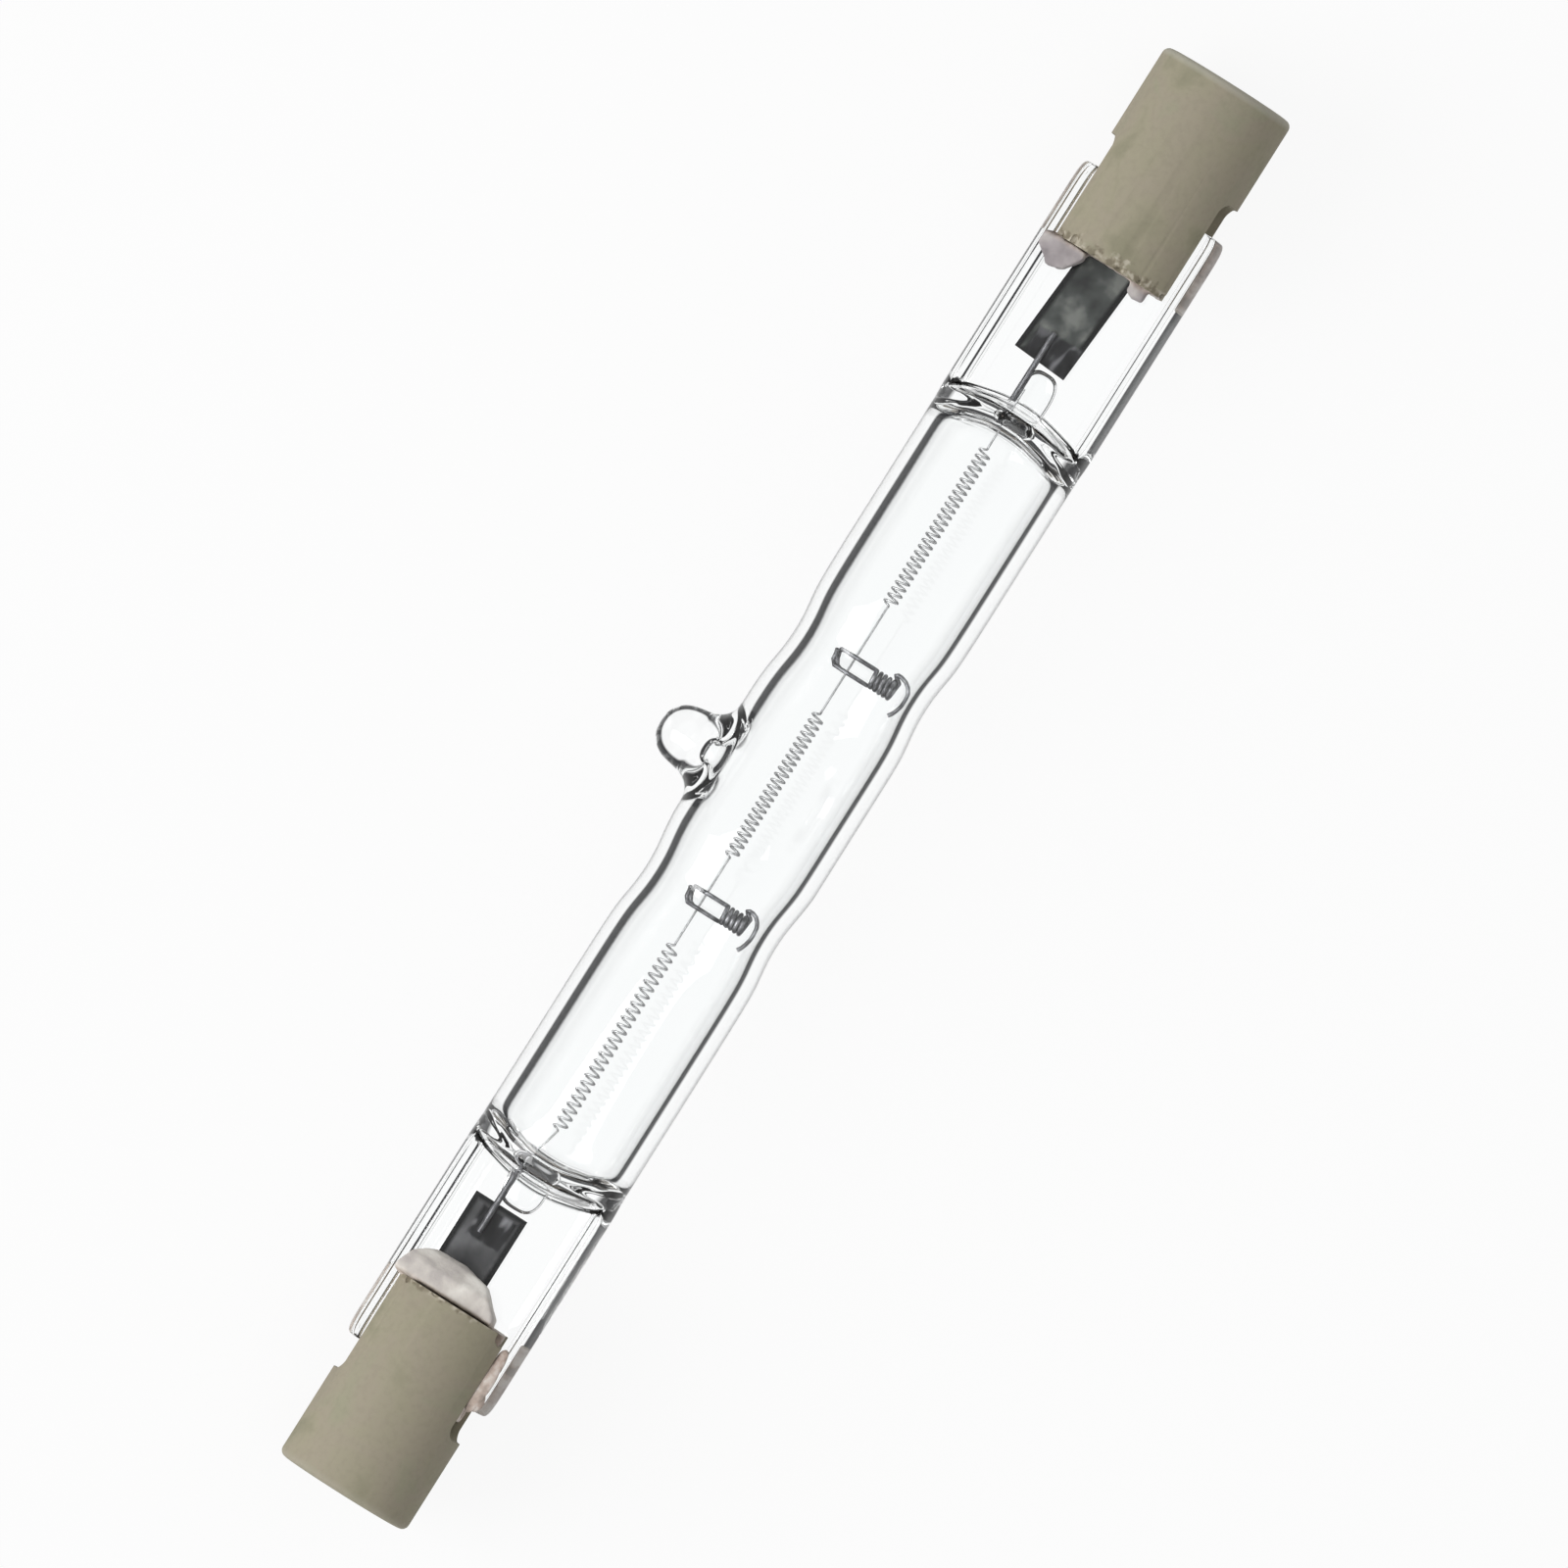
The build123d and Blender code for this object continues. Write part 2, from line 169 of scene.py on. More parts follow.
# Quartz envelope: fused quartz tube, closed at both ends by pinch seals that
# were pressed flat while soft, with the sealed-off exhaust nub on its side.
# It is drawn with the nub along Y, then leant so that it lies on the nub.
lean = radians(27.15)
tube_radius = 3.9 * mm
bore_radius = 3.05 * mm
ring_sides = 32
ring_step = 2 * pi / ring_sides
# Subdividing pulls a ring of points in, so it starts this much larger.
ring_gain = 3 / (2 + cos(ring_step)) * 0.999
pinch_end = 32.6 * mm
neck_place = 6.557 * mm
neck_depth = 0.28 * mm
nub_place = -0.4 * mm


def start_edit(obj):
    """Opens one piece alone in edit mode, with nothing selected."""
    if bpy.context.object and bpy.context.object.mode == "EDIT":
        bpy.ops.object.mode_set(mode="OBJECT")
    bpy.ops.object.select_all(action="DESELECT")
    bpy.context.view_layer.objects.active = obj
    obj.select_set(True)
    bpy.ops.object.mode_set(mode="EDIT")
    bpy.ops.mesh.select_mode(type="VERT")
    bpy.ops.mesh.select_all(action="DESELECT")


def pick(obj, wanted, kind="verts"):
    """Selects only the points, edges or faces whose place passes the test."""
    shape = bmesh.from_edit_mesh(obj.data)
    bpy.ops.mesh.select_mode(type={"verts": "VERT", "edges": "EDGE", "faces": "FACE"}[kind])
    bpy.ops.mesh.select_all(action="DESELECT")
    for item in getattr(shape, kind):
        if kind == "verts":
            place = item.co
        elif kind == "edges":
            place = (item.verts[0].co + item.verts[1].co) / 2
        else:
            place = item.calc_center_median()
        if wanted(place):
            item.select_set(True)
    shape.select_flush(True)
    bmesh.update_edit_mesh(obj.data)


def near(value, target, reach=0.02 * mm):
    """Tells whether a place is at another, but for rounding."""
    return abs(value - target) < reach


def open_tube(name, radius, stations):
    """A tube along X with a ring of points at each station."""
    first, last = stations[0], stations[-1]
    bpy.ops.object.select_all(action="DESELECT")
    bpy.ops.mesh.primitive_cylinder_add(vertices=ring_sides, radius=radius, depth=last - first,
                                        end_fill_type="NOTHING", location=((first + last) / 2, 0, 0),
                                        rotation=(0, pi / 2, 0))
    tube = bpy.context.object
    tube.name = name
    bpy.ops.object.transform_apply(location=True, rotation=True, scale=True)
    start_edit(tube)
    for station in stations[1:-1]:
        bpy.ops.mesh.select_all(action="SELECT")
        bpy.ops.mesh.bisect(plane_co=(station, 0, 0), plane_no=(1, 0, 0))
    return tube


def scale_ring(obj, station, wide, high):
    """Scales one ring about the axis, across and in height."""
    pick(obj, lambda p: near(p.x, station))
    bpy.ops.transform.resize(value=(1, wide, high), center_override=(station, 0, 0))


def press_neck(obj, side, radius):
    """Pulls in the rings at a filament support, where the soft tube was pressed on it."""
    for away, share in ((0.0, 1.0), (0.95, 0.85), (1.85, 0.35)):
        for sign in (-1, 1):
            if away == 0 and sign > 0:
                continue
            size = 1 - share * neck_depth / radius
            scale_ring(obj, side * neck_place + sign * away * mm, size, size)


# Stations: the places along the tube that have a ring of points.
neck_stations = [side * neck_place + away * mm for side in (-1, 1)
                 for away in (-2.8, -1.85, -0.95, 0, 0.95, 1.85, 2.8)]
nub_stations = [nub_place + step * tube_radius * sin(ring_step) for step in range(-4, 5)]
shoulder_start = {-1: 20.56 * mm, 1: 19.46 * mm}
shoulder_steps = [0.35 * mm, 0.65 * mm, 0.9 * mm, 1.12 * mm, 1.4 * mm]
shoulder_flats = (0.985, 0.94, 0.83, 0.6, 0.5)
plain_station = 13.5 * mm
pinch_stations = {-1: [23.2 * mm, 25 * mm, 28 * mm, 31 * mm, 32.1 * mm, pinch_end],
                  1: [22.3 * mm, 24.5 * mm, 28 * mm, 31 * mm, 32.1 * mm, pinch_end]}
stations = neck_stations + nub_stations
for side in (-1, 1):
    stations += [side * (shoulder_start[side] + step) for step in shoulder_steps]
    stations += [side * station for station in pinch_stations[side]]
    stations += [side * (shoulder_start[side] - 0.6 * mm), side * (shoulder_start[side] - 1.6 * mm),
                 side * plain_station]
stations.sort()

glass = open_tube("quartz_envelope", tube_radius * ring_gain, stations)
for side in (-1, 1):
    press_neck(glass, side, tube_radius)

# The shoulders: each ring is flatter than the last.
for side in (-1, 1):
    for step, high in zip(shoulder_steps, shoulder_flats):
        scale_ring(glass, side * (shoulder_start[side] + step), 1, high)

# The pinches: webs pressed in between two narrow rails, on both faces. Points
# between the first two places across go up to the third, and out by the fourth.
section = (
    (0.0, 1.9, 0.9, 0),
    (1.9, 2.4, 0.9, 1.02),
    (2.4, 3.0, 1.5, 0.78),
    (3.0, 3.45, 1.48, 0.41),
    (3.45, 3.75, 1.0, 0.22),
    (3.75, 4.0, 0.5, 0.06),
)
for side in (-1, 1):
    pressed = shoulder_start[side] + shoulder_steps[-2] - 0.01 * mm
    for near_y, far_y, height, push in reversed(section):
        for face in (-1, 1):
            pick(glass, lambda p: side * p.x > pressed and near_y * mm <= abs(p.y) < far_y * mm
                 and face * p.z > 0.02 * mm)
            bpy.ops.transform.resize(value=(1, 1, 0), center_override=(0, 0, face * height * mm))
        for edge in (-1, 1):
            pick(glass, lambda p: side * p.x > shoulder_start[side] + shoulder_steps[-1] - 0.01 * mm
                 and near_y * mm <= edge * p.y < far_y * mm)
            bpy.ops.transform.translate(value=(0, edge * push * mm, 0))
            for step, share in zip(shoulder_steps, (0.1, 0.25, 0.5, 0.8)):
                pick(glass, lambda p: near(side * p.x, shoulder_start[side] + step)
                     and near_y * mm <= edge * p.y < far_y * mm)
                bpy.ops.transform.translate(value=(0, edge * push * share * mm, 0))

# The line of each shoulder is an arc, further out in the middle. Points between
# the first two places across are pushed out by the third, in mm.
shoulder_arc = ((0, 0.3, 0.42), (0.3, 1.1, 0.38), (1.1, 1.9, 0.28), (1.9, 2.6, 0.12),
                (2.6, 3.1, -0.05), (3.1, 3.5, -0.25), (3.5, 3.8, -0.42), (3.8, 5.0, -0.5))
for side in (-1, 1):
    low = shoulder_start[side] + 0.3 * mm
    high = shoulder_start[side] + 2.6 * mm
    for near_y, far_y, push in shoulder_arc:
        pick(glass, lambda p: low < side * p.x < high and near_y * mm <= abs(p.y) < far_y * mm)
        bpy.ops.transform.translate(value=(side * push * mm, 0, 0))

# Ends of the pinches, a little rounded.
for side in (-1, 1):
    pick(glass, lambda p: near(p.x, side * pinch_end))
    bpy.ops.transform.resize(value=(1, 0.97, 0.9), center_override=(side * pinch_end, 0, 0))
    bpy.ops.mesh.extrude_region_move(TRANSFORM_OT_translate={"value": (0, 0, 0)})
    bpy.ops.transform.resize(value=(1, 0.93, 0.75), center_override=(side * pinch_end, 0, 0))
    bpy.ops.mesh.edge_face_add()


def open_patch(obj, half_length, half_width, outer):
    """Cuts a square patch out of the nub's side of a tube, and selects its rim."""
    pick(obj, lambda p: abs(p.x - nub_place) < half_length and abs(p.z) < half_width
         and p.y > outer * 0.7, "faces")
    bpy.ops.mesh.delete(type="FACE")
    bpy.ops.mesh.select_mode(type="EDGE")
    bpy.ops.mesh.select_non_manifold(extend=False, use_wire=False, use_boundary=True,
                                     use_multi_face=False, use_non_contiguous=False, use_verts=False)


def raise_ring(obj, height, radius, round_it):
    """Extrudes the selected rim along Y to a height, and sizes the new ring about the nub's axis."""
    shape = bmesh.from_edit_mesh(obj.data)
    rim = [v for v in shape.verts if v.select]
    level = sum(v.co.y for v in rim) / len(rim)
    bpy.ops.mesh.extrude_region_move(TRANSFORM_OT_translate={"value": (0, height - level, 0)})
    bpy.ops.transform.resize(value=(1, 0, 1), center_override=(nub_place, height, 0))
    if round_it:
        bpy.ops.transform.tosphere(value=1)
    shape = bmesh.from_edit_mesh(obj.data)
    rim = [v for v in shape.verts if v.select]
    size = sum((v.co - Vector((nub_place, v.co.y, 0))).length for v in rim) / len(rim)
    bpy.ops.transform.resize(value=(radius / size, 1, radius / size),
                             center_override=(nub_place, height, 0))


# The exhaust nub, drawn out of the tube's side and melted shut to a round tip.
# Each ring has its height from the axis and its radius, in mm.
nub_rings = ((4.25, 1.86), (4.75, 1.6), (5.3, 1.53), (5.85, 1.41), (6.3, 1.13), (6.59, 0.71),
             (6.72, 0.3))
open_patch(glass, 2.4 * mm, 2.2 * mm, tube_radius)
for height, radius in nub_rings:
    raise_ring(glass, height * mm, radius * mm, round_it=height == nub_rings[0][0])
bpy.ops.mesh.edge_face_add()
bpy.ops.mesh.select_all(action="SELECT")
bpy.ops.mesh.normals_make_consistent(inside=False)
bpy.ops.object.mode_set(mode="OBJECT")

# The space inside: the bore, which narrows to a wide flat mouth under the
# shoulders so that the wall keeps its thickness, a flat throat round each
# lead as far as its foil, and the exhaust bore.
bore_end = {-1: 20.95 * mm, 1: 19.85 * mm}
funnel_steps = (1.1 * mm, 0.8 * mm, 0.5 * mm, 0.25 * mm, 0.08 * mm, 0)
funnel_widths = (1, 1, 0.99, 0.96, 0.9, 0.8)
funnel_heights = (1, 0.99, 0.93, 0.78, 0.5, 0.22)
# The mouth's line is an arc too, given as the shoulders' one is, at a share of its push.
funnel_arc = ((0, 0.8, 0.42), (0.8, 1.6, 0.3), (1.6, 2.3, 0.05), (2.3, 2.8, -0.3), (2.8, 3.4, -0.5))
funnel_share = 0.8
throat_end = {-1: 23.6 * mm, 1: 23.1 * mm}
throat_place = {-1: 0.28 * mm, 1: -0.04 * mm}
throat_half = {-1: 1.1 * mm, 1: 0.95 * mm}
# Rings of a throat: the share of its run, of its half width, and of the height before.
throat_rings = ((0.08, 0.78, 0.75), (0.3, 0.92, 0.7), (0.55, 1.0, 1), (0.8, 0.94, 1), (0.94, 0.7, 0.8),
                (1.0, 0.36, 0.5))
exhaust_bore_rings = ((3.3, 0.74), (3.62, 0.72), (3.88, 0.58), (4.04, 0.34), (4.1, 0.12))
bore_stations = neck_stations + [
    nub_place + step * bore_radius * sin(ring_step) for step in range(-3, 4)]
for side in (-1, 1):
    bore_stations += [side * (bore_end[side] - step) for step in funnel_steps]
    bore_stations += [side * (bore_end[side] - 3.2 * mm), side * plain_station]
bore_stations.sort()
space = open_tube("bore_space", bore_radius * ring_gain, bore_stations)
for side in (-1, 1):
    press_neck(space, side, bore_radius)
    for step, wide, high in zip(funnel_steps, funnel_widths, funnel_heights):
        scale_ring(space, side * (bore_end[side] - step), wide, high)
    pick(space, lambda p: near(p.x, side * bore_end[side]))
    run = throat_end[side] - bore_end[side]
    reach = 0
    for part, half, high in throat_rings:
        bpy.ops.mesh.extrude_region_move(
            TRANSFORM_OT_translate={"value": (side * run * (part - reach), 0, 0)})
        widest = max(abs(v.co.y) for v in bmesh.from_edit_mesh(space.data).verts if v.select)
        bpy.ops.transform.resize(value=(1, throat_half[side] * half / widest, high),
                                 center_override=(side * (bore_end[side] + run * part), 0, 0))
        reach = part
    bpy.ops.mesh.edge_face_add()
    pick(space, lambda p: side * p.x > bore_end[side] + 0.2 * mm)
    bpy.ops.transform.translate(value=(0, throat_place[side], 0))
    for near_y, far_y, push in funnel_arc:
        pick(space, lambda p: bore_end[side] - 1.3 * mm < side * p.x < bore_end[side] + 0.2 * mm
             and near_y * mm <= abs(p.y) < far_y * mm)
        bpy.ops.transform.translate(value=(side * push * mm * funnel_share, 0, 0))
    pick(space, lambda p: bore_end[side] - 1.2 * mm < side * p.x < bore_end[side] + 0.35 * mm)
    bpy.ops.mesh.vertices_smooth(factor=0.5, repeat=1)
open_patch(space, 1.3 * mm, 1.3 * mm, bore_radius)
for height, radius in exhaust_bore_rings:
    raise_ring(space, height * mm, radius * mm, round_it=height == exhaust_bore_rings[0][0])
bpy.ops.mesh.edge_face_add()
bpy.ops.mesh.select_all(action="SELECT")
bpy.ops.mesh.normals_make_consistent(inside=False)
bpy.ops.mesh.flip_normals()
bpy.ops.object.mode_set(mode="OBJECT")

bpy.ops.object.select_all(action="DESELECT")
space.select_set(True)
glass.select_set(True)
bpy.context.view_layer.objects.active = glass
bpy.ops.object.join()


def soften(obj, levels):
    """Subdivides a cage smoothly and applies it."""
    bpy.ops.object.select_all(action="DESELECT")
    obj.select_set(True)
    bpy.context.view_layer.objects.active = obj
    bpy.ops.object.modifier_add(type="SUBSURF")
    obj.modifiers[-1].levels = levels
    obj.modifiers[-1].render_levels = levels
    bpy.ops.object.modifier_apply(modifier=obj.modifiers[-1].name)
    bpy.ops.object.shade_smooth()


def lay_down(obj):
    """Leans a piece that was drawn upright about the tube's axis to how it lies."""
    start_edit(obj)
    bpy.ops.mesh.select_all(action="SELECT")
    bpy.ops.transform.rotate(value=lean, orient_axis="X", center_override=(0, 0, 0))
    bpy.ops.object.mode_set(mode="OBJECT")


soften(glass, 2)
lay_down(glass)


def new_material(name):
    """An empty material, and the tree for its nodes."""
    material = bpy.data.materials.new(name)
    material.use_nodes = True
    material.node_tree.nodes.clear()
    return material, material.node_tree


# Fire-polished fused quartz: quite clear and smooth, so it shows only as dark
# lines where it bends the view most. Light reaches the parts inside unbent.
quartz, tree = new_material("fused_quartz")
path = add_node(tree, "ShaderNodeLightPath")
body = add_node(tree, "ShaderNodeBsdfPrincipled", {}, {
    "Base Color": linear("fdfefe"), "Roughness": 0.0, "IOR": 1.458, "Transmission Weight": 1.0})
clear = add_node(tree, "ShaderNodeBsdfTransparent", {}, {"Color": linear("f6f7f7")})
unbent = add_node(tree, "ShaderNodeMath", {"operation": "MAXIMUM"}, {
    0: path.outputs["Is Shadow Ray"], 1: path.outputs["Is Diffuse Ray"]})
through = add_node(tree, "ShaderNodeMixShader", {},
    {0: unbent.outputs[0], 1: body.outputs[0], 2: clear.outputs[0]})
add_node(tree, "ShaderNodeOutputMaterial", {}, {"Surface": through.outputs[0]})
glass.data.materials.append(quartz)
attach(glass, "root")
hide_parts("glass_envelope")


# Foils: strips of molybdenum foil sealed in the pinches, which carry the current
# through the quartz. They are dull and dark from the heat of sealing, darker
# at the feathered edges, and a weld holds each lead.
foil_middle = {"left": 0.78 * mm, "right": 2.21 * mm}
foil_slope = {"left": 0.0, "right": 0.07}
foil_tip = {"left": 23.75 * mm, "right": 23.3 * mm}
# The welded part of each foil: its middle and its half sizes, in mm.
foil_mark = {"left": (-24.9, 0.6, 0.8, 0.95), "right": (24.0, 0.25, 0.82, 1.3)}
# Patterns are laid out in mm, in the place that each piece had before it was leant.
in_mm = (1000, 1000, 1000)


def dress(node_name, material):
    """Gives a node of the frame this material in all its slots."""
    for index in range(len(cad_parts[node_name].material_slots)):
        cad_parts[node_name].material_slots[index].material = material


for side_name in ("left", "right"):
    # Molybdenum foil, rolled thin, etched at its edges and oxidised in the flame:
    # a dull dark grey, black round its rim, with streaks where it is welded.
    foil_metal, tree = new_material("sealed_molybdenum_foil_" + side_name)
    place = add_node(tree, "ShaderNodeTexCoord")
    drawn = add_node(tree, "ShaderNodeMapping", {}, {
        "Vector": place.outputs["Object"], "Rotation": (lean, 0, 0), "Scale": in_mm})
    cloud = add_node(tree, "ShaderNodeTexNoise", {},
        {"Vector": drawn.outputs[0], "Scale": 1 / 1.4, "Detail": 4})
    tone = add_node(tree, "ShaderNodeValToRGB", {}, {"Fac": cloud.outputs["Fac"]},
                    {"left": ((0.3, "3e3e40"), (0.5, "545455"), (0.7, "6c6c6e")),
                     "right": ((0.32, "2e2f2f"), (0.5, "4c4f4d"), (0.66, "787a76"))}[side_name])
    parts = add_node(tree, "ShaderNodeSeparateXYZ", {}, {"Vector": drawn.outputs[0]})
    lifted = add_node(tree, "ShaderNodeMath", {"operation": "SUBTRACT"},
        {0: parts.outputs["Y"], 1: foil_middle[side_name] / mm})
    tilted = add_node(tree, "ShaderNodeMath", {"operation": "MULTIPLY_ADD"}, {
        0: parts.outputs["X"], 1: foil_slope[side_name], 2: lifted.outputs[0]})
    off = add_node(tree, "ShaderNodeMath", {"operation": "ABSOLUTE"}, {0: tilted.outputs[0]})
    edge = add_node(tree, "ShaderNodeMapRange", {},
        {"Value": off.outputs[0], "From Min": 1.05, "From Max": 1.22})
    out = add_node(tree, "ShaderNodeMath", {"operation": "ABSOLUTE"}, {0: parts.outputs["X"]})
    tip = add_node(tree, "ShaderNodeMapRange", {}, {
        "Value": out.outputs[0], "From Min": foil_tip[side_name] / mm + 0.4,
        "From Max": foil_tip[side_name] / mm + 0.15})
    rim = add_node(tree, "ShaderNodeMath", {"operation": "MAXIMUM"},
        {0: edge.outputs["Result"], 1: tip.outputs["Result"]})
    edged = add_node(tree, "ShaderNodeMix", {"data_type": "RGBA"}, {
        0: rim.outputs[0], 6: tone.outputs["Color"], 7: linear("0b0b0c")})
    mark_x, mark_y, half_x, half_y = foil_mark[side_name]
    from_mark = add_node(tree, "ShaderNodeMapping", {}, {
        "Vector": drawn.outputs[0], "Location": (-mark_x / half_x, -mark_y / half_y, 0),
        "Scale": (1 / half_x, 1 / half_y, 0)})
    square = add_node(tree, "ShaderNodeVectorMath", {"operation": "ABSOLUTE"},
        {0: from_mark.outputs[0]})
    sides = add_node(tree, "ShaderNodeSeparateXYZ", {}, {"Vector": square.outputs[0]})
    furthest = add_node(tree, "ShaderNodeMath", {"operation": "MAXIMUM"},
        {0: sides.outputs["X"], 1: sides.outputs["Y"]})
    weld = add_node(tree, "ShaderNodeMapRange", {},
        {"Value": furthest.outputs[0], "From Min": 1.1, "From Max": 0.9})
    stretched = add_node(tree, "ShaderNodeMapping", {},
        {"Vector": drawn.outputs[0], "Scale": (0.4, 1, 1)})
    streaks = add_node(tree, "ShaderNodeTexNoise", {}, {
        "Vector": stretched.outputs[0], "Scale": 1 / 0.6, "Detail": 1, "Distortion": 0.3})
    weld_tone = add_node(tree, "ShaderNodeValToRGB", {}, {"Fac": streaks.outputs["Fac"]}, (
        (0.42, "101011"), (0.54, "29292b"), (0.63, "68686b"), (0.72, "8f8f92")))
    welded = add_node(tree, "ShaderNodeMix", {"data_type": "RGBA"}, {
        0: weld.outputs["Result"], 6: edged.outputs[2], 7: weld_tone.outputs["Color"]})
    bump = add_node(tree, "ShaderNodeBump", {},
        {"Height": cloud.outputs["Fac"], "Strength": 0.3, "Distance": 0.03 * mm})
    body = add_node(tree, "ShaderNodeBsdfPrincipled", {}, {
        "Base Color": welded.outputs[2], "Metallic": 0.1, "Roughness": 0.55, "Specular IOR Level": 0.15,
        "Normal": bump.outputs["Normal"]})
    add_node(tree, "ShaderNodeOutputMaterial", {}, {"Surface": body.outputs[0]})
    dress("foil_" + side_name, foil_metal)


# Leads: molybdenum wire. The inner ones come out into the bore and hold the
# filament. The outer ones are welded to the contacts behind the recesses.
for position in ("inner", "outer"):
    # Drawn wire, with fine lines along it. Inside it is a clean mid grey. The
    # outer one has the straw and brown oxide of the seal's heat.
    lead_metal, tree = new_material(
        {"inner": "drawn_molybdenum_wire", "outer": "heat_tinted_molybdenum_wire"}[position])
    place = add_node(tree, "ShaderNodeTexCoord")
    drawn = add_node(tree, "ShaderNodeMapping", {}, {
        "Vector": place.outputs["Object"], "Rotation": (lean, 0, 0), "Scale": (200, 1000, 1000)})
    lines = add_node(tree, "ShaderNodeTexNoise", {},
        {"Vector": drawn.outputs[0], "Scale": 1 / 0.1, "Detail": 2})
    tone = add_node(tree, "ShaderNodeValToRGB", {}, {"Fac": lines.outputs["Fac"]},
                    {"inner": ((0.35, "525254"), (0.65, "7c7c7f")),
                     "outer": ((0.35, "4a4238"), (0.5, "6b6250"), (0.65, "7d7a74"))}[position])
    body = add_node(tree, "ShaderNodeBsdfPrincipled", {}, {
        "Base Color": tone.outputs["Color"], "Metallic": 0.9, "Roughness": 0.42})
    add_node(tree, "ShaderNodeOutputMaterial", {}, {"Surface": body.outputs[0]})
    for side_name in ("left", "right"):
        dress(position + "_lead_" + side_name, lead_metal)


# Filament: one tungsten wire wound in three runs of even turns, with straight
# skips where the supports hold it. Each end is welded beside its inner lead.
# The wire is swept along its helix as a curve, which no edit-mode way follows.
filament_wire = 0.11 * mm
coil_radius = 0.32 * mm
filament_line = 0.5 * mm
# Coiled runs: where each starts and ends, and its pitch, in mm.
coil_runs = ((-19.2, -9.2, 0.4), (-3.95, 3.65, 0.33), (10.0, 18.4, 0.33))
steps_per_turn = 14
ease_steps = 6
ease_stride = 0.04 * mm
leg_ends = {-1: (0.86 * mm, 0.14 * mm), 1: (0.5 * mm, 0.14 * mm)}


def sweep_wire(name, points, thickness):
    """A round wire swept along points, as a closed mesh that lies with the bulb."""
    route = bpy.data.curves.new(name, "CURVE")
    route.dimensions = "3D"
    route.bevel_depth = thickness / 2
    route.bevel_resolution = 2
    route.use_fill_caps = True
    spline = route.splines.new("POLY")
    spline.points.add(len(points) - 1)
    for point, spot in zip(spline.points, points):
        point.co = (*spot, 1)
    wire = bpy.data.objects.new(name, route)
    bpy.context.collection.objects.link(wire)
    bpy.ops.object.select_all(action="DESELECT")
    wire.select_set(True)
    bpy.context.view_layer.objects.active = wire
    bpy.ops.object.convert(target="MESH")
    wire = bpy.context.object
    bpy.ops.object.shade_smooth()
    lay_down(wire)
    return wire


def ease(share):
    """Goes from 0 to 1, starting and ending gently."""
    return share * share * (3 - 2 * share)


filament_points = [(-22.2 * mm, *leg_ends[-1]), (-20.95 * mm, *leg_ends[-1])]
for start, end, pitch in coil_runs:
    turns = round((end - start) / pitch)
    count = turns * steps_per_turn
    for i in range(-ease_steps, count + ease_steps + 1):
        inside = min(max(i, 0), count)
        away = abs(i - inside) / ease_steps
        size = coil_radius * (1 - ease(away))
        angle = 2 * pi * i / steps_per_turn
        x = (start + (end - start) * inside / count) * mm + (i - inside) * ease_stride
        filament_points.append((x, filament_line + size * cos(angle), size * sin(angle)))
filament_points += [(20.6 * mm, *leg_ends[1]), (21.9 * mm, *leg_ends[1])]
filament = sweep_wire("coiled_filament", filament_points, filament_wire)

# Drawn tungsten wire, burnt in: an even matt grey with a faint crystal grain.
tungsten, tree = new_material("drawn_tungsten")
place = add_node(tree, "ShaderNodeTexCoord")
drawn = add_node(tree, "ShaderNodeMapping", {}, {
    "Vector": place.outputs["Object"], "Rotation": (lean, 0, 0), "Scale": in_mm})
grain = add_node(tree, "ShaderNodeTexNoise", {},
    {"Vector": drawn.outputs[0], "Scale": 1 / 0.15, "Detail": 3})
tone = add_node(tree, "ShaderNodeValToRGB", {}, {"Fac": grain.outputs["Fac"]},
    ((0.35, "a8a8a9"), (0.65, "d0d0d1")))
body = add_node(tree, "ShaderNodeBsdfPrincipled", {}, {
    "Base Color": tone.outputs["Color"], "Metallic": 0.9, "Roughness": 0.5})
add_node(tree, "ShaderNodeOutputMaterial", {}, {"Surface": body.outputs[0]})
filament.data.materials.append(tungsten)
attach(filament, "root")
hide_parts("filament")


# Filament supports: each is one tungsten wire. A tall open loop holds the skip
# of the filament, a close-wound post stands under it, and a foot curls back
# along the bore. They are swept along their routes as the filament is.
support_wire = 0.22 * mm
